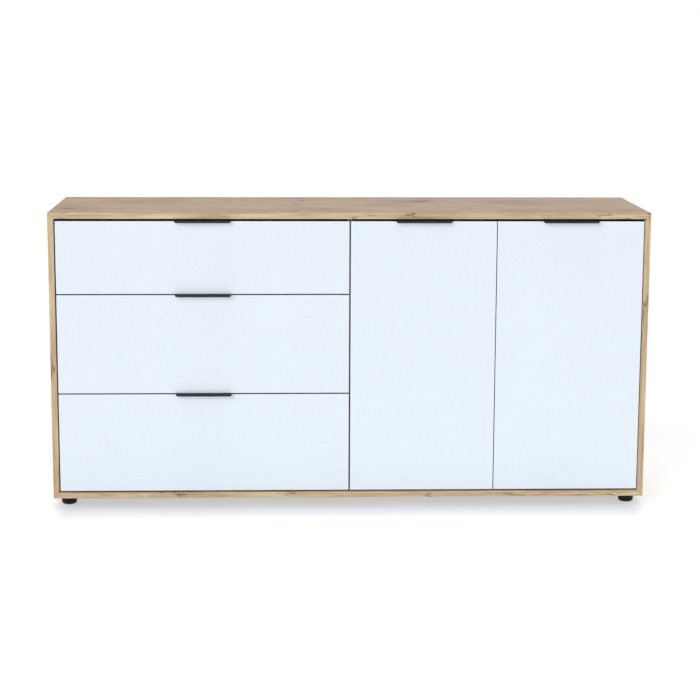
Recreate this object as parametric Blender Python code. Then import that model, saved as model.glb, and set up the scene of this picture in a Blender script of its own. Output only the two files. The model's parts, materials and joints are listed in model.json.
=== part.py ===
"""Sideboard with three drawers and two doors, modelled as separate pieces in metres, +Z up.

The origin is on the floor, under the middle of the whole outline. The front faces -Y.
Depths are given as v, measured backwards from the front faces, and heights as c,
measured up from the underside of the carcass. Round a door's hinges, u is measured
from the door's hinge edge into the door.
"""
import math

import bmesh
import bpy
from mathutils import Vector

# Driving dimensions
WIDTH = 1.600
CARCASS_HEIGHT = 0.7735
CARCASS_DEPTH = 0.450
BOARD = 0.016
FRONT_BOARD = 0.016
FOOT_HEIGHT = 0.0265
FIT = 0.0003                # running gap between touching pieces
MITRE_SHIFT = 0.00045       # shortens the top and bottom so that the mitres keep their gap

# Fronts and the gaps round them
TOP_GAP = 0.0060
BOTTOM_GAP = 0.0048
LEFT_GAP = 0.0035
RIGHT_GAP = 0.0024
DRAWER_GAP = 0.0032
DOOR_GAP = 0.0023
DOOR_GAP_X = 0.3896
COLUMN_GAP = 0.0042         # between the drawers and the doors
COLUMN_GAP_X = -0.0017
TOP_DRAWER_FRONT = 0.1938

# Back, partition and shelf
BACK_SHEET = 0.003
BACK_REBATE_DEPTH = 0.004
BACK_REBATE_WIDTH = 0.008
PARTITION_SETBACK = 0.020
SHELF_SETBACK = 0.045
SHELF_HEIGHT = 0.378
SHELF_SIDE_GAP = 0.001

# Drawer boxes and their slides
SLIDE_WIDTH = 0.0125
SLIDE_LENGTH = 0.400
SLIDE_SETBACK = 0.021
RAIL_SHEET = 0.0012
CABINET_RAIL_HEIGHT = 0.035
CABINET_RAIL_REACH = 0.0100
DRAWER_RAIL_HEIGHT = 0.025
DRAWER_RAIL_REACH = 0.0080
RAIL_ABOVE_BOX_FOOT = 0.045
BOX_BOARD = 0.012
BOX_LENGTH = 0.400
BOX_ABOVE_FRONT_FOOT = 0.0135
LOW_BOX_HEIGHT = 0.120
TALL_BOX_HEIGHT = 0.180
BOX_BACK_DROP = 0.012       # the back of a box ends this far under its sides
BOTTOM_SHEET = 0.003
BOTTOM_ABOVE_BOX_FOOT = 0.011
GROOVE_DEPTH = 0.005

# Lip handles
HANDLE_LENGTH = 0.150
HANDLE_PROJECTION = 0.013
HANDLE_SHEET = 0.0012
HANDLE_DROP = 0.0052
HANDLE_BEND = 0.0022
HANDLE_SEAT = 0.012         # how far the handle lies back on the front's top edge
BEND_STEPS = 6

# Feet
FOOT_RADIUS = 0.0207
FOOT_SOLE_RADIUS = 0.0145
FOOT_ROUNDING = 0.0080
FOOT_FROM_SIDE = 0.0361
FOOT_FROM_EDGE = 0.055
ROUND_STEPS = 48

# Hinges, in u and v of a door
HINGE_FROM_END = 0.090
CUP_CENTRE_U = 0.022
CUP_HOLE_RADIUS = 0.0175
CUP_HOLE_DEPTH = 0.0122
CUP_RADIUS = 0.0172
CUP_WALL = 0.0009
CUP_RIM_RADIUS = 0.0190
CUP_RIM_SHEET = 0.0007
CUP_DEPTH = 0.0119
WING_SHEET = 0.0012
WING_HALF_HEIGHT = 0.031
WING_HALF_WIDTH = 0.007
ARM_PIN = Vector((0.030, 0.024))
CUP_PIN = Vector((0.0105, 0.011))
PIN_RADIUS = 0.0012
PIN_BORE = 0.0015
CUP_PIN_HALF = 0.0114
KNUCKLE_RADIUS = 0.0026
LINK_BENDS = (Vector((0.025, 0.010)), Vector((0.020, 0.0075)))
LINK_SHEET = 0.0024
LINK_HALF_HEIGHT = 0.0055
ARM_LINE = (Vector((0.013, 0.092)), Vector((0.013, 0.052)), Vector((0.0275, 0.034)), Vector((0.0302, 0.0206)))
ARM_WIDTH = 0.0078
ARM_HALF_HEIGHT = 0.008
ARM_SLOT_HALF_HEIGHT = 0.006
ARM_SLOT_HALF_WIDTH = 0.0050
ARM_SLOT_BEHIND_PIN = 0.0036
PLATE_SHEET = 0.002
PLATE_HALF_HEIGHT = 0.024
PLATE_V = (0.048, 0.080)
SADDLE_V = (0.044, 0.090)
SADDLE_HALF_HEIGHT = 0.0065
SMALL_STEPS = 20

# Derived planes
INNER_X = WIDTH / 2 - BOARD
FRONT_Y = (HANDLE_PROJECTION - CARCASS_DEPTH) / 2
BACK_FACE_V = CARCASS_DEPTH - BACK_REBATE_DEPTH
FRONTS_FOOT = BOARD + BOTTOM_GAP
FRONTS_TOP = CARCASS_HEIGHT - BOARD - TOP_GAP
TALL_DRAWER_FRONT = (FRONTS_TOP - FRONTS_FOOT - TOP_DRAWER_FRONT - 2 * DRAWER_GAP) / 2
DRAWER_X = (-INNER_X + LEFT_GAP, COLUMN_GAP_X - COLUMN_GAP / 2)
LEFT_DOOR_X = (COLUMN_GAP_X + COLUMN_GAP / 2, DOOR_GAP_X - DOOR_GAP / 2)
RIGHT_DOOR_X = (DOOR_GAP_X + DOOR_GAP / 2, INNER_X - RIGHT_GAP)
BAY_X = (-INNER_X, -BOARD / 2)      # the drawers' bay, between the side and the partition


def depth(v):
    """Y of a place v behind the front faces."""
    return FRONT_Y + v


def height(c):
    """Z of a place c above the underside of the carcass."""
    return FOOT_HEIGHT + c


def clear_scene():
    for obj in list(bpy.data.objects):
        bpy.data.objects.remove(obj, do_unlink=True)


def make_material(name, colour, roughness, metallic=0.0):
    material = bpy.data.materials.new(name)
    material.use_nodes = True
    shader = material.node_tree.nodes["Principled BSDF"]
    shader.inputs["Base Color"].default_value = (*colour, 1.0)
    shader.inputs["Roughness"].default_value = roughness
    shader.inputs["Metallic"].default_value = metallic
    material.diffuse_color = (*colour, 1.0)
    return material


LOOKS = {
    "oak": ((0.50, 0.38, 0.24), 0.55, 0.0),
    "white_front": ((0.80, 0.87, 0.93), 0.25, 0.0),
    "white_board": ((0.78, 0.78, 0.76), 0.50, 0.0),
    "back_sheet": ((0.72, 0.71, 0.68), 0.60, 0.0),
    "black_metal": ((0.025, 0.030, 0.035), 0.40, 0.6),
    "black_plastic": ((0.012, 0.012, 0.013), 0.45, 0.0),
    "steel": ((0.55, 0.56, 0.57), 0.35, 1.0),
}


def look(slot, name):
    """A material of its own for each piece, with its slot's colour."""
    return make_material(f"{name}_{slot}", *LOOKS[slot])


def make_group(name, place):
    """An empty that carries the pieces of one body, set on its joint's axis."""
    empty = bpy.data.objects.new(name, None)
    empty.location = place
    bpy.context.scene.collection.objects.link(empty)
    return empty


def add_object(name, bm, centre, slot, group=None):
    """Turn a bmesh round `centre` into an object in its group."""
    bmesh.ops.recalc_face_normals(bm, faces=bm.faces)
    mesh = bpy.data.meshes.new(name)
    bm.to_mesh(mesh)
    bm.free()
    obj = bpy.data.objects.new(name, mesh)
    obj.location = centre
    if group:
        obj.parent = group
        obj.location = centre - group.location
    if slot:
        mesh.materials.append(look(slot, name))
    bpy.context.scene.collection.objects.link(obj)
    return obj


def add_box(name, low, high, slot, group=None):
    low, high = Vector(low), Vector(high)
    centre = (low + high) / 2
    bm = bmesh.new()
    bmesh.ops.create_cube(bm, size=1.0)
    bmesh.ops.scale(bm, vec=high - low, verts=bm.verts)
    return add_object(name, bm, centre, slot, group)


def add_prism(name, outline, start, travel, slot, group=None):
    """Extrude a closed outline of 3-D points along `travel`, round the point `start`."""
    bm = bmesh.new()
    face = bm.faces.new([bm.verts.new(Vector(point) - start) for point in outline])
    swept = bmesh.ops.extrude_face_region(bm, geom=[face])
    moved = [item for item in swept["geom"] if isinstance(item, bmesh.types.BMVert)]
    bmesh.ops.translate(bm, verts=moved, vec=travel)
    return add_object(name, bm, start, slot, group)


def add_cylinder(name, centre, radius, length, axis, slot, group=None, steps=ROUND_STEPS):
    bm = bmesh.new()
    bmesh.ops.create_cone(bm, cap_ends=True, segments=steps, radius1=radius, radius2=radius, depth=length)
    turn = Vector((0, 0, 1)).rotation_difference(Vector(axis)).to_matrix()
    bmesh.ops.rotate(bm, cent=(0, 0, 0), matrix=turn, verts=bm.verts)
    return add_object(name, bm, Vector(centre), slot, group)


def smooth(obj, angle=35.0):
    obj.data.shade_smooth()
    obj.data.set_sharp_from_angle(angle=math.radians(angle))


def use_tool(target, tool, operation):
    """Cut or join `tool` into `target`, and keep the tool as a hidden guide."""
    modifier = target.modifiers.new(f"{operation.lower()}_{tool.name}", "BOOLEAN")
    modifier.operation = operation
    modifier.solver = "EXACT"
    modifier.object = tool
    tool.hide_render = True
    tool.display_type = "WIRE"


def cut(target, tool):
    use_tool(target, tool, "DIFFERENCE")


def join(target, tool):
    use_tool(target, tool, "UNION")


# Carcass

def add_mitred_board(name, outline, slot):
    """A board whose XZ outline runs the whole depth of the carcass."""
    points = [(x, depth(0), height(c)) for x, c in outline]
    return add_prism(name, points, Vector(points[0]), Vector((0, CARCASS_DEPTH, 0)), slot)


def add_shell():
    """Top, bottom and sides, mitred at the corners and rebated for the back."""
    half = WIDTH / 2
    ends = half - MITRE_SHIFT
    top = CARCASS_HEIGHT
    outlines = {
        "top_panel": [(-ends, top), (ends, top), (ends - BOARD, top - BOARD), (BOARD - ends, top - BOARD)],
        "bottom_panel": [(-ends, 0), (ends, 0), (ends - BOARD, BOARD), (BOARD - ends, BOARD)],
        "left_side_panel": [(-half, 0), (-INNER_X, BOARD), (-INNER_X, top - BOARD), (-half, top)],
        "right_side_panel": [(half, 0), (INNER_X, BOARD), (INNER_X, top - BOARD), (half, top)],
    }
    edge = BOARD - BACK_REBATE_WIDTH
    rebate = add_box(
        "back_rebate_cutter",
        (edge - half, depth(BACK_FACE_V), height(edge)),
        (half - edge, depth(CARCASS_DEPTH + BOARD), height(top - edge)),
        None,
    )
    for name, outline in outlines.items():
        cut(add_mitred_board(name, outline, "oak"), rebate)


def add_back_partition_shelf():
    inset = BOARD - BACK_REBATE_WIDTH + 2 * FIT
    add_box(
        "back_panel",
        (inset - WIDTH / 2, depth(BACK_FACE_V + FIT), height(inset)),
        (WIDTH / 2 - inset, depth(BACK_FACE_V + FIT + BACK_SHEET), height(CARCASS_HEIGHT - inset)),
        "back_sheet",
    )
    add_box(
        "centre_partition",
        (-BOARD / 2, depth(PARTITION_SETBACK), height(BOARD + FIT)),
        (BOARD / 2, depth(BACK_FACE_V), height(CARCASS_HEIGHT - BOARD - FIT)),
        "oak",
    )
    add_box(
        "shelf",
        (BOARD / 2 + SHELF_SIDE_GAP, depth(SHELF_SETBACK), height(SHELF_HEIGHT)),
        (INNER_X - SHELF_SIDE_GAP, depth(BACK_FACE_V - SHELF_SIDE_GAP), height(SHELF_HEIGHT + BOARD)),
        "oak",
    )


def add_foot(name, x, v):
    """A turned foot: straight at the top, rounded in to a flat sole."""
    top = FOOT_HEIGHT - FIT
    profile = [(0.0, top), (FOOT_RADIUS, top), (FOOT_RADIUS, FOOT_ROUNDING)]
    for step in range(1, BEND_STEPS + 1):
        turn = step / BEND_STEPS * math.pi / 2
        radius = FOOT_SOLE_RADIUS + (FOOT_RADIUS - FOOT_SOLE_RADIUS) * math.cos(turn)
        profile.append((radius, FOOT_ROUNDING * (1 - math.sin(turn))))
    profile.append((0.0, 0.0))
    bm = bmesh.new()
    line = [bm.verts.new((radius, 0.0, z)) for radius, z in profile]
    edges = [bm.edges.new(pair) for pair in zip(line[:-1], line[1:])]
    bmesh.ops.spin(
        bm, geom=line + edges, cent=(0, 0, 0), axis=(0, 0, 1), angle=math.tau, steps=ROUND_STEPS,
    )
    bmesh.ops.remove_doubles(bm, verts=bm.verts, dist=1e-6)
    smooth(add_object(name, bm, Vector((x, depth(v), 0)), "black_plastic"))


def add_feet():
    far_x = WIDTH / 2 - FOOT_FROM_SIDE
    rear_v = CARCASS_DEPTH - FOOT_FROM_EDGE
    add_foot("foot_front_left", -far_x, FOOT_FROM_EDGE)
    add_foot("foot_front_right", far_x, FOOT_FROM_EDGE)
    add_foot("foot_rear_left", -far_x, rear_v)
    add_foot("foot_rear_right", far_x, rear_v)
    add_foot("foot_centre", 0.0, CARCASS_DEPTH / 2)


# Handles

def handle_profile():
    """Closed outline of the bent sheet in v and height over the front's top edge."""
    low, high = FIT, FIT + HANDLE_SHEET
    lip = -HANDLE_PROJECTION
    tip = high - HANDLE_DROP
    outer = [(HANDLE_SEAT, high)]
    inner = [(HANDLE_SEAT, low)]
    for step in range(BEND_STEPS + 1):
        turn = step / BEND_STEPS * math.pi / 2
        centre_v, centre_c = lip + HANDLE_BEND, high - HANDLE_BEND
        for line, radius in ((outer, HANDLE_BEND), (inner, HANDLE_BEND - HANDLE_SHEET)):
            line.append((centre_v - radius * math.sin(turn), centre_c + radius * math.cos(turn)))
    return outer + [(lip, tip), (lip + HANDLE_SHEET, tip)] + inner[::-1]


def add_handle(name, x, front_top, group):
    """A lip handle on a front's top edge, whose lip narrows downwards at both ends."""
    start = Vector((x, depth(0), height(front_top)))
    outline = [start + Vector((-HANDLE_LENGTH / 2, v, c)) for v, c in handle_profile()]
    obj = add_prism(name, outline, start, Vector((HANDLE_LENGTH, 0, 0)), "black_metal", group)
    for vertex in obj.data.vertices:
        below = max(0.0, FIT - vertex.co.z)
        vertex.co.x -= math.copysign(below, vertex.co.x)
    smooth(obj)


# Drawers

def rail_outline(x, c, reach, tall, away):
    """C section from x, open towards `away`, in x and height."""
    half, sheet = tall / 2, RAIL_SHEET
    far = x + away * reach
    web = x + away * sheet
    return [
        (x, c - half), (far, c - half), (far, c - half + sheet), (web, c - half + sheet),
        (web, c + half - sheet), (far, c + half - sheet), (far, c + half), (x, c + half),
    ]


def add_rail(name, x, c, reach, tall, away, length, group=None):
    outline = [
        (rx, depth(SLIDE_SETBACK), height(rc)) for rx, rc in rail_outline(x, c, reach, tall, away)
    ]
    add_prism(name, outline, Vector(outline[0]), Vector((0, length, 0)), "steel", group)


def add_slides(drawer, rail_c, group):
    """A cabinet rail and a drawer rail at each side of a drawer."""
    for side, bay_wall, inward in (("left", BAY_X[0], 1), ("right", BAY_X[1], -1)):
        add_rail(
            f"{drawer}_cabinet_rail_{side}", bay_wall + inward * FIT, rail_c,
            CABINET_RAIL_REACH, CABINET_RAIL_HEIGHT, inward, SLIDE_LENGTH,
        )
        add_rail(
            f"{drawer}_drawer_rail_{side}", bay_wall + inward * (SLIDE_WIDTH - FIT), rail_c,
            DRAWER_RAIL_REACH, DRAWER_RAIL_HEIGHT, -inward, SLIDE_LENGTH - FRONT_BOARD, group,
        )


def add_drawer_box(drawer, foot, tall, group):
    """Two sides, a back and a grooved-in bottom behind the drawer's front."""
    left, right = BAY_X[0] + SLIDE_WIDTH, BAY_X[1] - SLIDE_WIDTH
    near = FRONT_BOARD + FIT
    far = FRONT_BOARD + BOX_LENGTH
    sheet_foot = foot + BOTTOM_ABOVE_BOX_FOOT
    sheet_x = (left + BOX_BOARD - GROOVE_DEPTH, right - BOX_BOARD + GROOVE_DEPTH)
    groove = add_box(
        f"{drawer}_groove_cutter",
        (sheet_x[0] - FIT, depth(near - BOARD), height(sheet_foot - FIT)),
        (sheet_x[1] + FIT, depth(far + BOARD), height(sheet_foot + BOTTOM_SHEET + FIT)),
        None, group,
    )
    for side, x in (("left", left), ("right", right - BOX_BOARD)):
        board = add_box(
            f"{drawer}_box_side_{side}",
            (x, depth(near), height(foot)), (x + BOX_BOARD, depth(far), height(foot + tall)),
            "white_board", group,
        )
        cut(board, groove)
    add_box(
        f"{drawer}_box_back",
        (left + BOX_BOARD + FIT, depth(far - BOX_BOARD), height(sheet_foot + BOTTOM_SHEET + FIT)),
        (right - BOX_BOARD - FIT, depth(far), height(foot + tall - BOX_BACK_DROP)),
        "white_board", group,
    )
    add_box(
        f"{drawer}_box_bottom",
        (sheet_x[0], depth(near), height(sheet_foot)),
        (sheet_x[1], depth(far), height(sheet_foot + BOTTOM_SHEET)),
        "back_sheet", group,
    )


def add_drawer(drawer, foot, front_height, box_height):
    middle = sum(DRAWER_X) / 2
    group = make_group(drawer, (middle, depth(0), height(foot + front_height / 2)))
    add_box(
        f"{drawer}_front",
        (DRAWER_X[0], depth(0), height(foot)),
        (DRAWER_X[1], depth(FRONT_BOARD), height(foot + front_height)),
        "white_front", group,
    )
    add_handle(f"{drawer}_handle", middle, foot + front_height, group)
    box_foot = foot + BOX_ABOVE_FRONT_FOOT
    add_drawer_box(drawer, box_foot, box_height, group)
    add_slides(drawer, box_foot + RAIL_ABOVE_BOX_FOOT, group)


def add_drawers():
    foot = FRONTS_FOOT
    for drawer in ("drawer_bottom", "drawer_middle"):
        add_drawer(drawer, foot, TALL_DRAWER_FRONT, TALL_BOX_HEIGHT)
        foot += TALL_DRAWER_FRONT + DRAWER_GAP
    add_drawer("drawer_top", foot, TOP_DRAWER_FRONT, LOW_BOX_HEIGHT)


# Doors and hinges

class HingePlace:
    """Turns u, v and height at one hinge into places in the room."""

    def __init__(self, edge_x, inward, c):
        self.edge_x, self.inward, self.c = edge_x, inward, c

    def at(self, u, v, up=0.0):
        return Vector((self.edge_x + self.inward * u, depth(v), height(self.c) + up))

    def box(self, name, u, v, half_height, slot=None, group=None):
        first, last = self.at(u[0], v[0], -half_height), self.at(u[1], v[1], half_height)
        low = Vector(map(min, first, last))
        high = Vector(map(max, first, last))
        return add_box(name, low, high, slot, group)

    def strip(self, name, line, width, half_height, slot=None, group=None):
        """A bent bar of even width along a line of u, v points."""
        points = [self.at(u, v, -half_height) for u, v in strip_outline(line, width)]
        travel = Vector((0, 0, 2 * half_height))
        return add_prism(name, points, points[0].copy(), travel, slot, group)

    def upright(self, name, place, radius, half_height, slot=None, group=None):
        return add_cylinder(
            name, self.at(*place), radius, 2 * half_height, (0, 0, 1), slot, group, SMALL_STEPS,
        )

    def bored(self, name, radius, v, slot=None, group=None):
        """A cylinder along the door's depth, on the cup's axis."""
        return add_cylinder(
            name, self.at(CUP_CENTRE_U, sum(v) / 2), radius, v[1] - v[0], (0, 1, 0), slot, group,
        )


def strip_outline(line, width):
    """Both sides of a line of 2-D points, offset by half the width."""
    left, right = [], []
    for index, point in enumerate(line):
        before = line[max(index - 1, 0)]
        after = line[min(index + 1, len(line) - 1)]
        first = (point - before).normalized() if index else (after - point).normalized()
        last = (after - point).normalized() if index < len(line) - 1 else first
        along = (first + last).normalized()
        normal = Vector((-along.y, along.x)) * (width / 2) / max(along.dot(first), 0.5)
        left.append(point + normal)
        right.append(point - normal)
    return left + right[::-1]


def add_cup(name, place, group):
    """The steel cup that is let into the door, with its rim, wings and pin."""
    floor = FRONT_BOARD + FIT - CUP_DEPTH
    rim = (FRONT_BOARD + FIT, FRONT_BOARD + FIT + CUP_RIM_SHEET)
    cup = place.bored(name, CUP_RADIUS, (floor, rim[1]), "steel", group)
    join(cup, place.bored(f"{name}_rim_tool", CUP_RIM_RADIUS, rim, None, group))
    wings = place.box(
        f"{name}_wing_tool", (CUP_CENTRE_U - WING_HALF_WIDTH, CUP_CENTRE_U + WING_HALF_WIDTH),
        (rim[0], rim[0] + WING_SHEET), WING_HALF_HEIGHT, None, group,
    )
    join(cup, wings)
    hollow = (floor + CUP_WALL, rim[1] + BOARD)
    cut(cup, place.bored(f"{name}_hollow_cutter", CUP_RADIUS - CUP_WALL, hollow, None, group))
    join(cup, place.upright(f"{name}_pin_tool", CUP_PIN, PIN_RADIUS, CUP_PIN_HALF, None, group))
    smooth(cup)


def add_link(name, place, group):
    """The bent link between the arm's pin and the cup's pin."""
    line = (ARM_PIN, *LINK_BENDS, CUP_PIN)
    link = place.strip(name, line, LINK_SHEET, LINK_HALF_HEIGHT, "steel", group)
    for end, pin in (("arm", ARM_PIN), ("cup", CUP_PIN)):
        knuckle = place.upright(
            f"{name}_{end}_knuckle_tool", pin, KNUCKLE_RADIUS, LINK_HALF_HEIGHT, None, group,
        )
        join(link, knuckle)
    for end, pin in (("arm", ARM_PIN), ("cup", CUP_PIN)):
        bore = place.upright(
            f"{name}_{end}_bore_cutter", pin, PIN_BORE, 2 * LINK_HALF_HEIGHT, None, group,
        )
        cut(link, bore)
    smooth(link)


def add_arm(name, place, wall_u):
    """The cranked arm on its plate, which is screwed to the wall at wall_u."""
    arm = place.strip(name, ARM_LINE, ARM_WIDTH, ARM_HALF_HEIGHT, "steel")
    foot_u = wall_u + FIT
    arm_u = ARM_LINE[0].x
    join(arm, place.box(f"{name}_saddle_tool", (foot_u, arm_u), SADDLE_V, SADDLE_HALF_HEIGHT))
    join(arm, place.box(f"{name}_plate_tool", (foot_u, foot_u + PLATE_SHEET), PLATE_V, PLATE_HALF_HEIGHT))
    slot_u = (ARM_PIN.x - ARM_SLOT_HALF_WIDTH, ARM_PIN.x + ARM_SLOT_HALF_WIDTH)
    slot_v = (FRONT_BOARD, ARM_PIN.y + ARM_SLOT_BEHIND_PIN)
    cut(arm, place.box(f"{name}_slot_cutter", slot_u, slot_v, ARM_SLOT_HALF_HEIGHT))
    join(arm, place.upright(f"{name}_pin_tool", ARM_PIN, PIN_RADIUS, ARM_HALF_HEIGHT))
    smooth(arm)


def add_door(door, span_x, hinge_side, wall_x):
    """A door with its handle and two hinges; hinge_side is -1 for left and 1 for right."""
    low_x, high_x = span_x
    edge_x = low_x if hinge_side < 0 else high_x
    inward = -hinge_side
    middle = (FRONTS_FOOT + FRONTS_TOP) / 2
    swing = HingePlace(edge_x, inward, middle)
    group = make_group(door, swing.at(*CUP_PIN))
    link_group = make_group(f"{door}_hinge_links", swing.at(*ARM_PIN))
    panel = add_box(
        f"{door}_panel", (low_x, depth(0), height(FRONTS_FOOT)), (high_x, depth(FRONT_BOARD), height(FRONTS_TOP)),
        "white_front", group,
    )
    add_handle(f"{door}_handle", (low_x + high_x) / 2, FRONTS_TOP, group)
    wall_u = (wall_x - edge_x) * inward
    for level, c in (("upper", FRONTS_TOP - HINGE_FROM_END), ("lower", FRONTS_FOOT + HINGE_FROM_END)):
        place = HingePlace(edge_x, inward, c)
        hole = (FRONT_BOARD - CUP_HOLE_DEPTH, FRONT_BOARD + BOARD)
        cut(panel, place.bored(f"{door}_{level}_hole_cutter", CUP_HOLE_RADIUS, hole, None, group))
        add_cup(f"{door}_{level}_hinge_cup", place, group)
        add_link(f"{door}_{level}_hinge_link", place, link_group)
        add_arm(f"{door}_{level}_hinge_arm", place, wall_u)


def add_doors():
    add_door("door_left", LEFT_DOOR_X, -1, BOARD / 2)
    add_door("door_right", RIGHT_DOOR_X, 1, INNER_X)


def main():
    clear_scene()
    add_shell()
    add_back_partition_shelf()
    add_feet()
    add_drawers()
    add_doors()


main()
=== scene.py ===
"""Looks of the sideboard: materials for the CAD pieces, small fittings, light and camera.

Lengths are in metres in the frame of the CAD model: +Z up, fronts facing -Y.
"""
import json
import math

import bmesh
import bpy
from mathutils import Matrix, Vector


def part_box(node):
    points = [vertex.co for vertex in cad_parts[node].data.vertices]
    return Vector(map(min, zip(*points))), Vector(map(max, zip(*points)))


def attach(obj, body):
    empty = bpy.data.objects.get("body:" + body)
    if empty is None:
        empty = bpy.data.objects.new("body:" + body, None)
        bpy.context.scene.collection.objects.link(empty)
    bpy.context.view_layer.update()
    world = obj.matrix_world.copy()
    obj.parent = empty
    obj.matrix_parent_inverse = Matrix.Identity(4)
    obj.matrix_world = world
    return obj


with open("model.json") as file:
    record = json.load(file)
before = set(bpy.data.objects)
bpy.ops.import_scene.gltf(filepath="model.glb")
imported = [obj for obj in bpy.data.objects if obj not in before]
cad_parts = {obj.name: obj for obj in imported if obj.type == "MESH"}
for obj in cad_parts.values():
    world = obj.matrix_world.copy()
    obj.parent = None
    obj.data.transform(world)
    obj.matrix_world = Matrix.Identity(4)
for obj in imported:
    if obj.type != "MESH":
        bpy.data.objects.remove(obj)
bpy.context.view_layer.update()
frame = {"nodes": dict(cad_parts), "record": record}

NODES = frame["nodes"]

FRONT_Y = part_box("door_left_panel")[0].y

# Camera: a long lens, a little left of the middle and looking slightly down
CAMERA_LENS = 96.39
CAMERA_PLACE = Vector((-0.1847, -5.1594, 1.3034))
CAMERA_YAW = math.radians(2.130)        # to the right
CAMERA_PITCH = math.radians(9.994)      # down
CAMERA_ROLL = math.radians(0.254)

# Turned fittings: sizes are (radius, height above the face)
TURN_STEPS = 20
SINK = 0.0004                           # how far a fitting reaches into what it sits on
PLATE_SCREW = (0.0038, 0.0016)
ARM_SCREW = (0.0030, 0.0010)
CUP_SCREW = (0.0036, 0.0014)
HANDLE_SCREW = (0.0030, 0.0005)
RAIL_SCREW = (0.0034, 0.0008)
ARM_PIN_HEAD = (0.0019, 0.0005)
COVER_CAP = (0.0075, 0.0010)
NAIL_HEAD = (0.0022, 0.0006)
BUFFER_RADIUS = 0.0024
PIN_RADIUS = 0.0025
PIN_LENGTH = 0.0090
PIN_FLANGE = 0.0007

# Places of fittings, with v measured back from the fronts and u from a door's hinged edge
DRAWERS = ("drawer_top", "drawer_middle", "drawer_bottom")
DOORS = ("door_left", "door_right")
PLATE_SHEET = 0.002
PLATE_SCREW_V = 0.064
PLATE_SCREW_Z = 0.0165
ARM_SCREWS_V = (0.060, 0.080)
ARM_FACE_U = 0.0169
ARM_PIN_U = 0.030
ARM_PIN_V = 0.024
ARM_HALF_HEIGHT = 0.008
CUP_CENTRE_U = 0.022
CUP_SCREW_Z = 0.0245
WING_FACE_V = 0.0175
HANDLE_SCREW_X = 0.055
HANDLE_SCREW_V = 0.008
RAIL_SHEET = 0.0012
RAIL_SCREWS_V = (0.030, 0.190, 0.350)
CAGE_REACH = 0.0072                     # from the wall that the rail is screwed to
CAGE_Z = 0.0144
CAGE_LENGTH = 0.084
CAGE_FROM_END = 0.010
CAGE_HALF_WIDTH = 0.0012
CAGE_HALF_SHEET = 0.0003
BALLS = 7
BALL_RADIUS = 0.0016
CAP_INSET = 0.035
CAP_PARTS = (0.25, 0.75)                # of the height of a drawer's side
BUFFER_X = -0.0062
BUFFER_FROM_END = 0.030
BUFFER_CLEARANCE = 0.0004
PIN_FROM_FRONT = 0.040
PIN_FROM_BACK = 0.045
PIN_CLEARANCE = 0.0002                  # under the shelf
HOLE_SPACING = 0.032
HOLES_EACH_WAY = 4
NAIL_INSET = 0.004
NAILS_ALONG = 12
NAILS_UP = 6

# Light
WORLD_HORIZON = 1.02
WORLD_ZENITH = 0.15
ZENITH_FROM = 0.5               # sine of the elevation where the sky stops getting dimmer
LAMPS = (                       # name, strength, softness, tilt from the vertical, turn about Z
    ("front_lamp", 1.38, math.radians(40), math.radians(60), math.radians(-35)),
    ("top_lamp", 1.38, math.radians(24), math.radians(-2), 0.0),
)
FLOOR_HALF_SIDE = 120.0
FLOOR_GLOW = 0.62
FLOOR_PAPER = (0.52, 0.51, 0.51)
FLOOR_SHADOW_TINT = (0.46, 0.52, 0.62)        # painted cool tint in the painted shadow, against the warm light off the oak
FLOOR_PAINTED_SHADOW = 0.73                      # painted shadow: how much of its tone the floor keeps under the cabinet
SHADE_HALF_X = 0.755
SHADE_HALF_Y = 0.215
SHADE_REACH = 0.225
SHADE_SIDE_FALL = 3.5                   # how much faster the shade ends sideways than in front

# Oak figure, counted per metre along the grain and across it
KNOT_CELLS = (2.6, 4.4, 4.4)
RINGS = 60.0
STREAKS = (5.0, 110.0, 110.0)
HUES = (8.0, 170.0, 170.0)
BLOTCHES = (5.0, 11.0, 11.0)
FIBRES = (9.0, 420.0, 420.0)
PORES = (26.0, 900.0, 900.0)
CRACKS = (7.0, 75.0, 75.0)
CRACK_PATCHES = (11.0, 30.0, 30.0)
SOFT_EDGE = 0.0003
SHARP_ANGLE = math.radians(35)          # sharper folds of turned fittings are not smoothed

# Colours, linear
OAK_LIGHT = (0.70, 0.565, 0.345)
OAK_MIDDLE = (0.50, 0.37, 0.205)
OAK_ROSE = (0.61, 0.425, 0.265)
OAK_DARK = (0.31, 0.20, 0.105)
OAK_CRACK = (0.11, 0.065, 0.035)
OAK_UPWARD_PAINTED_SHEEN = (0.97, 0.955, 1.16)        # painted cool sheen and slight painted shade on faces that look up
# Painted shade on the fronts' edges: near black on the upper edges, grey on the side edges, for the shade in the
# gaps between the fronts
FRONT_TOP_EDGE_PAINTED_SHADE = (0.019, 0.014, 0.010)
FRONT_SIDE_EDGE_PAINTED_SHADE = (0.30, 0.29, 0.28)
WHITE_FRONT = (0.745, 0.822, 0.898)
WHITE_BOARD = (0.80, 0.80, 0.78)
BACK_SHEET = (0.74, 0.73, 0.70)
HANDLE_BLACK = (0.009, 0.010, 0.012)
PLASTIC_BLACK = (0.005, 0.0045, 0.005)
ZINC = (0.62, 0.63, 0.64)
NICKEL = (0.68, 0.67, 0.64)


# Materials

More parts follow.
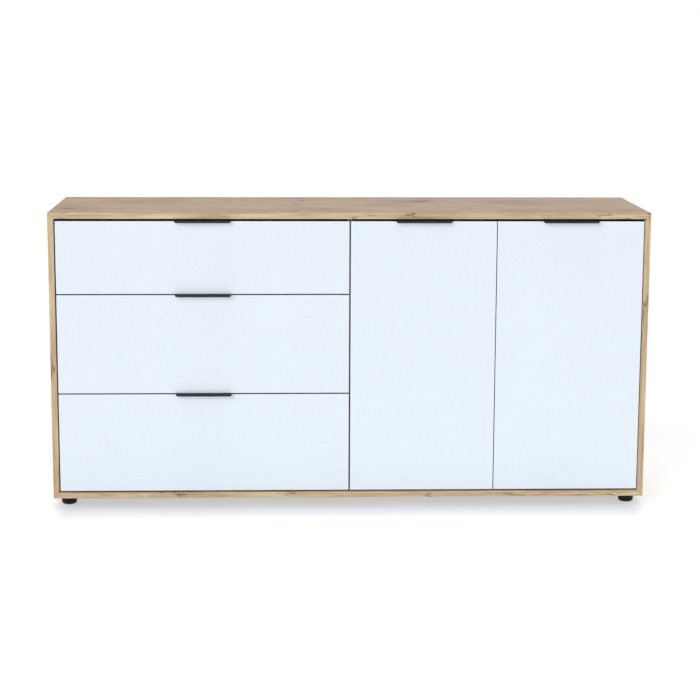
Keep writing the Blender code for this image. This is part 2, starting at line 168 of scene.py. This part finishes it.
class Material:
    """A Principled material and short ways to add and link nodes."""

    def __init__(self, name):
        self.data = bpy.data.materials.new(name)
        self.data.use_nodes = True
        self.tree = self.data.node_tree
        self.shader = self.tree.nodes["Principled BSDF"]

    def feed(self, socket, value):
        if isinstance(value, bpy.types.NodeSocket):
            self.tree.links.new(value, socket)
        elif isinstance(value, tuple) and len(value) == 3 and socket.type == "RGBA":
            socket.default_value = (*value, 1.0)
        else:
            socket.default_value = value

    def node(self, kind, values=(), **settings):
        made = self.tree.nodes.new(f"ShaderNode{kind}")
        for key, value in settings.items():
            setattr(made, key, value)
        for index, value in dict(values).items():
            self.feed(made.inputs[index], value)
        return made

    def math(self, operation, *values):
        made = self.node("Math", operation=operation)
        for socket, value in zip(made.inputs, values):
            self.feed(socket, value)
        return made.outputs[0]

    def vector(self, operation, *values):
        made = self.node("VectorMath", operation=operation)
        for socket, value in zip(made.inputs, values):
            self.feed(socket, value)
        return made.outputs[0]

    def noise(self, vector, scale, detail=3.0, roughness=0.55, distortion=0.0):
        values = {
            "Vector": vector, "Scale": scale, "Detail": detail,
            "Roughness": roughness, "Distortion": distortion,
        }
        return self.node("TexNoise", values).outputs[0]

    def spread(self, value, low, high, to_low=0.0, to_high=1.0):
        """Smoothly map low..high to to_low..to_high."""
        made = self.node(
            "MapRange", {0: value, 1: low, 2: high, 3: to_low, 4: to_high}, interpolation_type="SMOOTHSTEP",
        )
        return made.outputs[0]

    def mix(self, factor, first, second, blend="MIX"):
        made = self.node("Mix", data_type="RGBA", blend_type=blend)
        self.feed(made.inputs[0], factor)
        self.feed(made.inputs[6], first)
        self.feed(made.inputs[7], second)
        return made.outputs[2]

    def place(self):
        return self.node("TexCoord").outputs["Object"]

    def facing(self, axis):
        """How far the face looks along one axis of the object, from -1 to 1."""
        normal = self.node("TexCoord").outputs["Normal"]
        return self.node("SeparateXYZ", {0: normal}).outputs[axis]

    def bump(self, height, strength, distance):
        made = self.node("Bump", {"Height": height, "Strength": strength, "Distance": distance})
        self.feed(self.shader.inputs["Normal"], made.outputs[0])

    def surface(self, colour, roughness, **uniform):
        self.feed(self.shader.inputs["Base Color"], colour)
        self.feed(self.shader.inputs["Roughness"], roughness)
        for name, value in uniform.items():
            self.feed(self.shader.inputs[name.replace("_", " ").title().replace("Ior", "IOR")], value)
        return self.data


def oak_material(name, grain, shift, tone=1.0):
    """Oak decor with its grain along X or Z: rings, streaks, pores, knots and fine dark cracks, and a painted
    cool sheen with slight painted shade on faces that look up.
    """
    m = Material(name)
    x, y, z = m.node("SeparateXYZ", {0: m.place()}).outputs
    along, across, thick = (x, y, z) if grain == "X" else (z, y, x)
    joined = m.node("CombineXYZ", {0: along, 1: across, 2: thick})
    place = m.vector("ADD", joined.outputs[0], shift)

    def figure(stretch, detail=2.0, roughness=0.55, distortion=0.0):
        return m.noise(m.vector("MULTIPLY", place, stretch), 1.0, detail, roughness, distortion)

    # Knots, with the rings drawn in round them
    cells = m.node(
        "TexVoronoi",
        {"Vector": m.vector("MULTIPLY", place, KNOT_CELLS), "Scale": 1.0, "Randomness": 1.0},
    ).outputs["Distance"]
    cells = m.math("ADD", cells, m.math("MULTIPLY", m.math("SUBTRACT", figure((9.0, 22.0, 22.0)), 0.5), 0.16))
    halo = m.spread(cells, 0.04, 0.34, 1.0, 0.0)
    core = m.spread(cells, 0.02, 0.10, 1.0, 0.0)

    # Growth rings
    bend = m.math("MULTIPLY", m.math("SUBTRACT", figure((2.0, 6.0, 6.0)), 0.5), 0.30)
    wander = m.math("MULTIPLY", m.math("SUBTRACT", figure((5.0, 30.0, 30.0), 3.0), 0.5), 0.030)
    side = m.math("ADD", m.math("ADD", across, bend), wander)
    deep = m.math("ADD", thick, 0.10)
    radius = m.math("SQRT", m.math("ADD", m.math("POWER", side, 2.0), m.math("POWER", deep, 2.0)))
    ring = m.math("FRACT", m.math("MULTIPLY", m.math("ADD", radius, m.math("MULTIPLY", halo, 0.05)), RINGS))
    rings = m.math("MULTIPLY", m.spread(ring, 0.15, 0.92), m.spread(ring, 1.0, 0.93))

    streak = figure(STREAKS, 3.0, 0.6)
    hue = figure(HUES, 2.0)
    blotch = figure(BLOTCHES, 3.0)
    fibre = figure(FIBRES)
    pores = m.spread(figure(PORES, 1.0), 0.60, 0.72)

    # Cracks: thin lines where a stretched noise crosses its middle, only here and there
    crack_noise = figure(CRACKS, 2.0, 0.5, 0.3)
    crack_line = m.spread(m.math("ABSOLUTE", m.math("SUBTRACT", crack_noise, 0.5)), 0.0, 0.030, 1.0, 0.0)
    crack = m.math("MULTIPLY", crack_line, m.spread(figure(CRACK_PATCHES, 1.0), 0.55, 0.64))

    def toned(colour):
        return tuple(channel * tone for channel in colour)

    colour = m.mix(m.spread(streak, 0.36, 0.64), toned(OAK_LIGHT), toned(OAK_MIDDLE))
    colour = m.mix(m.math("MULTIPLY", m.spread(hue, 0.45, 0.62), 0.55), colour, toned(OAK_ROSE))
    colour = m.mix(m.math("MULTIPLY", m.spread(blotch, 0.48, 0.72), 0.30), colour, OAK_DARK)
    colour = m.mix(m.math("MULTIPLY", halo, 0.30), colour, OAK_DARK)
    colour = m.mix(m.math("MULTIPLY", rings, 0.20), colour, OAK_DARK)
    colour = m.mix(m.math("MULTIPLY", m.spread(fibre, 0.45, 0.85), 0.22), colour, OAK_DARK)
    colour = m.mix(m.math("MULTIPLY", pores, 0.35), colour, OAK_DARK)
    colour = m.mix(m.math("MULTIPLY", core, 0.70), colour, OAK_CRACK)
    colour = m.mix(m.math("MULTIPLY", crack, 0.85), colour, OAK_CRACK)
    # Painted sheen and shade: faces that look up are tinted cooler and a little darker, standing in for the pale
    # sky they reflect
    colour = m.mix(m.spread(m.facing("Z"), 0.4, 0.6), colour, m.mix(1.0, colour, OAK_UPWARD_PAINTED_SHEEN, "MULTIPLY"))
    roughness = m.spread(m.math("ADD", m.math("MULTIPLY", pores, 0.4), fibre), 0.2, 1.2, 0.44, 0.62)
    relief = m.math("ADD", m.math("MULTIPLY", pores, -0.8), m.math("MULTIPLY", crack, -1.2))
    m.bump(m.math("ADD", relief, m.math("MULTIPLY", fibre, 0.3)), 0.35, 0.00012)
    return m.surface(colour, roughness, specular_ior_level=0.45)


def painted_material(name, colour, shade, roughness, grain_scale, relief, metallic=0.0, specular=0.5):
    """A painted or moulded surface: fine texture, faint uneven tone and uneven gloss."""
    m = Material(name)
    place = m.place()
    fine = m.noise(place, grain_scale, 2.0)
    cloudy = m.noise(place, 3.5, 2.0)
    tone = m.spread(m.math("ADD", m.math("MULTIPLY", fine, 0.35), m.math("MULTIPLY", cloudy, 0.65)), 0.3, 0.7)
    darker = tuple(channel * shade for channel in colour)
    m.bump(fine, 0.25, relief)
    rough = m.spread(fine, 0.25, 0.75, roughness * 0.88, roughness * 1.12)
    return m.surface(m.mix(tone, darker, colour), rough, metallic=metallic, specular_ior_level=specular)


def front_material():
    """Cool white lacquer, with painted shade on its edges: a dark band on the upper edge and a greyer one on the
    sides, standing in for the shade in the gaps between the fronts.
    """
    m = Material("white_front")
    place = m.place()
    fine = m.noise(place, 260.0, 2.0)
    darker = tuple(channel * 0.985 for channel in WHITE_FRONT)
    face = m.mix(m.spread(m.noise(place, 3.5, 2.0), 0.3, 0.7), darker, WHITE_FRONT)
    # Painted shade on the upper and side edges of the fronts; faces that look down keep the white
    painted_shade_edges = m.spread(m.math("ABSOLUTE", m.facing("Y")), 0.55, 0.75, 1.0, 0.0)
    painted_shade_edges = m.math("MULTIPLY", painted_shade_edges, m.spread(m.facing("Z"), -0.75, -0.55))
    edge_shade_colour = m.mix(m.spread(m.facing("Z"), 0.55, 0.75), FRONT_SIDE_EDGE_PAINTED_SHADE, FRONT_TOP_EDGE_PAINTED_SHADE)
    m.bump(fine, 0.15, 0.00002)
    rough = m.math("ADD", m.spread(fine, 0.25, 0.75, 0.23, 0.29), m.math("MULTIPLY", painted_shade_edges, 0.30))
    gloss = m.spread(painted_shade_edges, 0.0, 1.0, 0.55, 0.12)
    return m.surface(m.mix(painted_shade_edges, face, edge_shade_colour), rough, specular_ior_level=gloss)


def brushed_material(name, colour, stretch, roughness):
    """Plated steel with fine lines along one direction."""
    m = Material(name)
    lines = m.noise(m.vector("MULTIPLY", m.place(), stretch), 1.0, 2.0)
    spots = m.noise(m.place(), 60.0, 2.0)
    darker = tuple(channel * 0.82 for channel in colour)
    m.bump(lines, 0.15, 0.00004)
    rough = m.spread(lines, 0.2, 0.8, roughness * 0.8, roughness * 1.25)
    return m.surface(m.mix(m.spread(spots, 0.3, 0.7), darker, colour), rough, metallic=1.0)


def make_materials():
    return {
        "white_front": front_material(),
        "white_board": painted_material("white_board", WHITE_BOARD, 0.96, 0.52, 1500.0, 0.00004),
        "back_sheet": painted_material("back_sheet", BACK_SHEET, 0.93, 0.62, 900.0, 0.00005),
        "handle_black": painted_material("handle_black", HANDLE_BLACK, 0.75, 0.38, 2600.0, 0.00003, 0.35),
        "foot_plastic": painted_material(
            "foot_plastic", PLASTIC_BLACK, 0.70, 0.50, 1800.0, 0.00005, specular=0.25,
        ),
        "rail_steel": brushed_material("rail_steel", ZINC, (900.0, 14.0, 900.0), 0.34),
        "hinge_steel": brushed_material("hinge_steel", NICKEL, (700.0, 700.0, 40.0), 0.24),
    }


OAK_BOARDS = {
    "top_panel": ("X", (0.0, 0.0, 0.0), 1.0),
    "bottom_panel": ("X", (3.1, 0.2, 0.0), 0.97),
    "left_side_panel": ("Z", (5.3, 0.1, 0.8), 0.97),
    "right_side_panel": ("Z", (7.9, -0.1, -0.8), 0.97),
    "centre_partition": ("Z", (11.7, 0.0, 0.0), 0.97),
    "shelf": ("X", (13.3, 0.1, 0.0), 0.97),
}


def dress_nodes(materials):
    slots = {entry["node"]: entry["material_slot"] for entry in frame["record"]["subparts"]}
    for name, obj in NODES.items():
        if name in OAK_BOARDS:
            grain, shift, tone = OAK_BOARDS[name]
            material = oak_material(f"oak_{name}", grain, shift, tone)
        else:
            material = materials[slots[name]]
        obj.data.materials.clear()
        obj.data.materials.append(material)


def soften_edges():
    """Tiny rounded edges on boards and fronts, so that they catch the light."""
    for name, obj in NODES.items():
        if name.endswith(("_panel", "_front", "_partition", "shelf")) or "_box_side" in name:
            bevel = obj.modifiers.new("soft_edge", "BEVEL")
            bevel.width = SOFT_EDGE
            bevel.segments = 2
            bevel.limit_method = "ANGLE"
            bevel.angle_limit = math.radians(40)
            bevel.use_clamp_overlap = True


# Fittings

def lathe(bm, place, axis, profile, steps=TURN_STEPS):
    """Add a turned shape: (radius, height) pairs swept round the axis through a place."""
    turn = Vector((0, 0, 1)).rotation_difference(Vector(axis)).to_matrix()
    rings = []
    for radius, rise in profile:
        if radius == 0:
            rings.append([bm.verts.new(Vector(place) + turn @ Vector((0, 0, rise)))])
            continue
        angles = [2 * math.pi * step / steps for step in range(steps)]
        spots = [Vector((radius * math.cos(a), radius * math.sin(a), rise)) for a in angles]
        rings.append([bm.verts.new(Vector(place) + turn @ spot) for spot in spots])
    for low, high in zip(rings, rings[1:]):
        for step in range(steps):
            after = (step + 1) % steps
            corners = [low[step % len(low)], low[after % len(low)]]
            corners += [high[after % len(high)], high[step % len(high)]]
            bm.faces.new(list(dict.fromkeys(corners)))      # a ring of one point gives triangles


def screw_profile(radius, rise):
    """A rounded head with a socket in it, standing on a face."""
    return [
        (0, -SINK), (radius, -SINK), (radius, rise * 0.35), (radius * 0.86, rise * 0.8),
        (radius * 0.62, rise), (radius * 0.42, rise), (radius * 0.36, rise * 0.35), (0, rise * 0.3),
    ]


def cap_profile(radius, rise):
    """A flat cover cap with a raised rim."""
    return [
        (0, -SINK), (radius, -SINK), (radius, rise * 0.7), (radius * 0.92, rise),
        (radius * 0.78, rise), (radius * 0.72, rise * 0.6), (radius * 0.2, rise * 0.6),
        (radius * 0.16, rise * 0.35), (0, rise * 0.35),
    ]


def dome_profile(radius, rise):
    """A low dome."""
    arcs = [math.radians(15 * step) for step in range(1, 6)]
    bow = [(radius * math.cos(a), rise * math.sin(a)) for a in arcs]
    return [(0, -SINK), (radius, -SINK), (radius, 0), *bow, (0, rise)]


def add_turned(name, body, material, profile, spots):
    """One piece of equal turned shapes at several (place, axis) spots."""
    bm = bmesh.new()
    for place, axis in spots:
        lathe(bm, place, axis, profile)
    return add_piece(name, body, material, bm)


def add_piece(name, body, material, bm):
    """A new object made from a mesh under construction, riding a body."""
    bmesh.ops.recalc_face_normals(bm, faces=bm.faces)
    mesh = bpy.data.meshes.new(name)
    bm.to_mesh(mesh)
    bm.free()
    mesh.shade_smooth()
    mesh.set_sharp_from_angle(angle=SHARP_ANGLE)
    mesh.materials.append(material)
    obj = bpy.data.objects.new(name, mesh)
    bpy.context.scene.collection.objects.link(obj)
    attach(obj, body)
    return obj


def add_block(bm, low, high):
    """Add a block between two corners."""
    made = bmesh.ops.create_cube(bm, size=1.0)["verts"]
    middle = (Vector(low) + Vector(high)) / 2
    size = Vector(high) - Vector(low)
    for vert in made:
        vert.co = middle + Vector(a * b for a, b in zip(vert.co, size))


def add_hinge_fittings(door, hinge_side, materials):
    """Screws of the mounting plates, arms and cups; hinge_side is -1 for left and 1 for right."""
    inward = -hinge_side
    door_low, door_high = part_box(f"{door}_panel")
    edge_x = door_low.x if hinge_side < 0 else door_high.x
    plate_screws, arm_screws, pin_heads, cup_screws = [], [], [], []
    for level in ("upper", "lower"):
        low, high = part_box(f"{door}_{level}_hinge_arm")
        wall_x = low.x if hinge_side < 0 else high.x
        z = (low.z + high.z) / 2
        for side in (-1, 1):
            spot = Vector((wall_x + inward * PLATE_SHEET, FRONT_Y + PLATE_SCREW_V, z + side * PLATE_SCREW_Z))
            plate_screws.append((spot, (inward, 0, 0)))
            spot = Vector((edge_x + inward * ARM_PIN_U, FRONT_Y + ARM_PIN_V, z + side * ARM_HALF_HEIGHT))
            pin_heads.append((spot, (0, 0, side)))
            spot = Vector((edge_x + inward * CUP_CENTRE_U, FRONT_Y + WING_FACE_V, z + side * CUP_SCREW_Z))
            cup_screws.append((spot, (0, 1, 0)))
        for v in ARM_SCREWS_V:
            spot = Vector((edge_x + inward * ARM_FACE_U, FRONT_Y + v, z))
            arm_screws.append((spot, (inward, 0, 0)))
    sets = (
        ("plate_screws", "cabinet", screw_profile(*PLATE_SCREW), plate_screws),
        ("arm_screws", "cabinet", screw_profile(*ARM_SCREW), arm_screws),
        ("pin_heads", "cabinet", dome_profile(*ARM_PIN_HEAD), pin_heads),
        ("cup_screws", door, screw_profile(*CUP_SCREW), cup_screws),
    )
    for name, body, profile, spots in sets:
        add_turned(f"{door}_{name}", body, materials["hinge_steel"], profile, spots)


def add_handle_screws(body, front, materials):
    """Screws through a handle's seat into the upper edge of its front."""
    low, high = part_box(f"{body}_handle")
    middle = (low.x + high.x) / 2
    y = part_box(front)[0].y + HANDLE_SCREW_V
    spots = [(Vector((middle + side * HANDLE_SCREW_X, y, high.z)), (0, 0, 1)) for side in (-1, 0, 1)]
    black = materials["handle_black"]
    add_turned(f"{body}_handle_screws", body, black, screw_profile(*HANDLE_SCREW), spots)


def add_slide_fittings(drawer, materials):
    """Screws in the rails of one drawer and the balls and cages between them."""
    steel = materials["rail_steel"]
    wall_screws, box_screws = [], []
    cages = bmesh.new()
    for side, inward in (("left", 1), ("right", -1)):
        low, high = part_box(f"{drawer}_cabinet_rail_{side}")
        z = (low.z + high.z) / 2
        wall_x = low.x if inward > 0 else high.x
        for v in RAIL_SCREWS_V:
            wall_screws.append((Vector((wall_x + inward * RAIL_SHEET, low.y + v, z)), (inward, 0, 0)))
        low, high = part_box(f"{drawer}_drawer_rail_{side}")
        box_x = high.x if inward > 0 else low.x
        for v in RAIL_SCREWS_V:
            box_screws.append((Vector((box_x - inward * RAIL_SHEET, low.y + v, z)), (-inward, 0, 0)))
        x = wall_x + inward * CAGE_REACH
        for rise in (-CAGE_Z, CAGE_Z):
            start, end = high.y - CAGE_FROM_END - CAGE_LENGTH, high.y - CAGE_FROM_END
            corner = Vector((CAGE_HALF_WIDTH, 0, CAGE_HALF_SHEET))
            add_block(cages, Vector((x, start, z + rise)) - corner, Vector((x, end, z + rise)) + corner)
            for ball in range(BALLS):
                y = start + (ball + 0.5) * CAGE_LENGTH / BALLS
                bmesh.ops.create_icosphere(
                    cages, subdivisions=2, radius=BALL_RADIUS, matrix=Matrix.Translation((x, y, z + rise)),
                )
    screws = screw_profile(*RAIL_SCREW)
    add_turned(f"{drawer}_wall_rail_screws", "cabinet", steel, screws, wall_screws)
    add_turned(f"{drawer}_box_rail_screws", drawer, steel, screws, box_screws)
    add_piece(f"{drawer}_ball_cages", drawer, steel, cages)


def add_box_fittings(drawer, materials):
    """Cover caps inside the box sides near the front, and buffers on the partition behind the front."""
    caps = []
    for side, inward in (("left", 1), ("right", -1)):
        low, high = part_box(f"{drawer}_box_side_{side}")
        x = high.x if inward > 0 else low.x
        for part in CAP_PARTS:
            z = low.z + (high.z - low.z) * part
            caps.append((Vector((x, low.y + CAP_INSET, z)), (inward, 0, 0)))
    white = materials["white_board"]
    add_turned(f"{drawer}_cover_caps", drawer, white, cap_profile(*COVER_CAP), caps)
    low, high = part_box(f"{drawer}_front")
    stop_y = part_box("centre_partition")[0].y
    heights = (low.z + BUFFER_FROM_END, high.z - BUFFER_FROM_END)
    buffers = [(Vector((BUFFER_X, stop_y, z)), (0, -1, 0)) for z in heights]
    dome = dome_profile(BUFFER_RADIUS, stop_y - high.y - BUFFER_CLEARANCE)
    add_turned(f"{drawer}_buffers", "cabinet", white, dome, buffers)


def add_shelf_fittings(materials):
    """Pins under the shelf, rows of dark discs painted as the shade in the pin holes, and cover caps on the
    partition.
    """
    low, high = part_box("shelf")
    walls = ((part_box("centre_partition")[1].x, 1), (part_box("right_side_panel")[0].x, -1))
    pins, hole_shades = [], []
    for wall_x, inward in walls:
        for y in (low.y + PIN_FROM_FRONT, high.y - PIN_FROM_BACK):
            for step in range(-HOLES_EACH_WAY, HOLES_EACH_WAY + 1):
                z = low.z - PIN_RADIUS + step * HOLE_SPACING
                if step:
                    hole_shades.append((Vector((wall_x, y, z)), (inward, 0, 0)))
                else:
                    pins.append((Vector((wall_x, y, z - PIN_CLEARANCE)), (inward, 0, 0)))
    pin = [
        (0, -SINK), (PIN_RADIUS * 1.5, -SINK), (PIN_RADIUS * 1.5, PIN_FLANGE), (PIN_RADIUS, PIN_FLANGE + 0.0005),
        (PIN_RADIUS, PIN_LENGTH - 0.0005), (PIN_RADIUS * 0.8, PIN_LENGTH), (0, PIN_LENGTH),
    ]
    # Each pin hole is a dark disc a hair's breadth proud of the board: painted shade in place of a hollow
    hole_shade_disc = [(0, 0.00002), (PIN_RADIUS * 0.7, 0.00003), (PIN_RADIUS, 0.00005), (PIN_RADIUS * 1.08, 0.00001)]
    add_turned("shelf_pins", "cabinet", materials["hinge_steel"], pin, pins)
    add_turned("shelf_pin_hole_shades", "cabinet", materials["foot_plastic"], hole_shade_disc, hole_shades)
    low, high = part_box("centre_partition")
    caps = [
        (Vector((high.x, y, z)), (1, 0, 0))
        for y in (low.y + CAP_INSET, high.y - CAP_INSET)
        for z in (low.z + CAP_INSET, high.z - CAP_INSET)
    ]
    white = materials["white_board"]
    add_turned("partition_cover_caps", "cabinet", white, cap_profile(*COVER_CAP), caps)


def add_back_nails(materials):
    """Nails round the rim of the back sheet, seen from behind."""
    low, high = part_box("back_panel")
    low, high = low + Vector((NAIL_INSET, 0, NAIL_INSET)), high - Vector((NAIL_INSET, 0, NAIL_INSET))
    spots = []
    for step in range(NAILS_ALONG + 1):
        x = low.x + (high.x - low.x) * step / NAILS_ALONG
        spots += [Vector((x, high.y, low.z)), Vector((x, high.y, high.z))]
    for step in range(1, NAILS_UP):
        z = low.z + (high.z - low.z) * step / NAILS_UP
        spots += [Vector((low.x, high.y, z)), Vector((0, high.y, z)), Vector((high.x, high.y, z))]
    spots = [(spot, (0, 1, 0)) for spot in spots]
    steel = materials["rail_steel"]
    add_turned("back_nails", "cabinet", steel, dome_profile(*NAIL_HEAD), spots)


def add_fittings(materials):
    add_hinge_fittings("door_left", -1, materials)
    add_hinge_fittings("door_right", 1, materials)
    for drawer in DRAWERS:
        add_handle_screws(drawer, f"{drawer}_front", materials)
        add_slide_fittings(drawer, materials)
        add_box_fittings(drawer, materials)
    for door in DOORS:
        add_handle_screws(door, f"{door}_panel", materials)
    add_shelf_fittings(materials)
    add_back_nails(materials)


# Stage

def floor_material():
    """Pale paper that glows a little, with a painted soft shadow round the foot of the cabinet in its colour and
    glow.
    """
    m = Material("floor_paper")
    x, y, _ = m.node("SeparateXYZ", {0: m.place()}).outputs
    aside = m.math("MAXIMUM", m.math("SUBTRACT", m.math("ABSOLUTE", x), SHADE_HALF_X), 0.0)
    aside = m.math("MULTIPLY", aside, SHADE_SIDE_FALL)
    before = m.math("MAXIMUM", m.math("SUBTRACT", m.math("ABSOLUTE", y), SHADE_HALF_Y), 0.0)
    away = m.math("SQRT", m.math("ADD", m.math("POWER", aside, 2.0), m.math("POWER", before, 2.0)))
    # Painted shadow: the floor's colour and glow fall off towards the cabinet's footprint and turn cooler there
    shade = m.spread(away, 0.0, SHADE_REACH, FLOOR_PAINTED_SHADOW, 1.0)
    tone = m.spread(m.noise(m.place(), 1.2, 2.0), 0.2, 0.8, 0.99, 1.0)
    paper = m.math("MULTIPLY", shade, tone)
    tint = m.mix(m.spread(away, 0.0, SHADE_REACH * 0.6), FLOOR_SHADOW_TINT, FLOOR_PAPER)
    colour = m.mix(paper, (0.0, 0.0, 0.0), tint)
    m.feed(m.shader.inputs["Emission Strength"], m.math("MULTIPLY", shade, FLOOR_GLOW))
    return m.surface(colour, 0.9, emission_color=(1.0, 1.0, 1.0))


def make_floor():
    bm = bmesh.new()
    bmesh.ops.create_grid(bm, x_segments=1, y_segments=1, size=FLOOR_HALF_SIDE)
    mesh = bpy.data.meshes.new("floor")
    bm.to_mesh(mesh)
    bm.free()
    floor = bpy.data.objects.new("floor", mesh)
    bpy.context.scene.collection.objects.link(floor)
    mesh.materials.append(floor_material())


def make_light():
    world = bpy.data.worlds.new("white_room")
    bpy.context.scene.world = world
    world.use_nodes = True
    tree = world.node_tree
    background = tree.nodes["Background"]
    background.inputs["Color"].default_value = (1.0, 1.0, 1.0, 1.0)
    split = tree.nodes.new("ShaderNodeSeparateXYZ")
    fade = tree.nodes.new("ShaderNodeMapRange")
    for index, value in enumerate((ZENITH_FROM, WORLD_HORIZON, WORLD_ZENITH), start=2):
        fade.inputs[index].default_value = value
    tree.links.new(tree.nodes.new("ShaderNodeTexCoord").outputs["Generated"], split.inputs[0])
    tree.links.new(split.outputs["Z"], fade.inputs[0])
    tree.links.new(fade.outputs[0], background.inputs["Strength"])
    for name, strength, softness, tilt, turn in LAMPS:
        sun = bpy.data.lights.new(name, "SUN")
        sun.energy = strength
        sun.angle = softness
        lamp = bpy.data.objects.new(name, sun)
        lamp.rotation_euler = (tilt, 0.0, turn)
        bpy.context.scene.collection.objects.link(lamp)
    bpy.context.scene.view_settings.view_transform = "Standard"


def make_camera():
    data = bpy.data.cameras.new("camera")
    data.lens = CAMERA_LENS
    data.sensor_width = 36.0
    data.clip_end = 200.0
    camera = bpy.data.objects.new("camera", data)
    turn = (
        Matrix.Rotation(-CAMERA_YAW, 4, "Z")
        @ Matrix.Rotation(math.pi / 2 - CAMERA_PITCH, 4, "X")
        @ Matrix.Rotation(CAMERA_ROLL, 4, "Z")
    )
    camera.matrix_world = Matrix.Translation(CAMERA_PLACE) @ turn
    bpy.context.scene.collection.objects.link(camera)
    bpy.context.scene.camera = camera


def main():
    materials = make_materials()
    dress_nodes(materials)
    soften_edges()
    add_fittings(materials)
    make_floor()
    make_light()
    make_camera()


main()
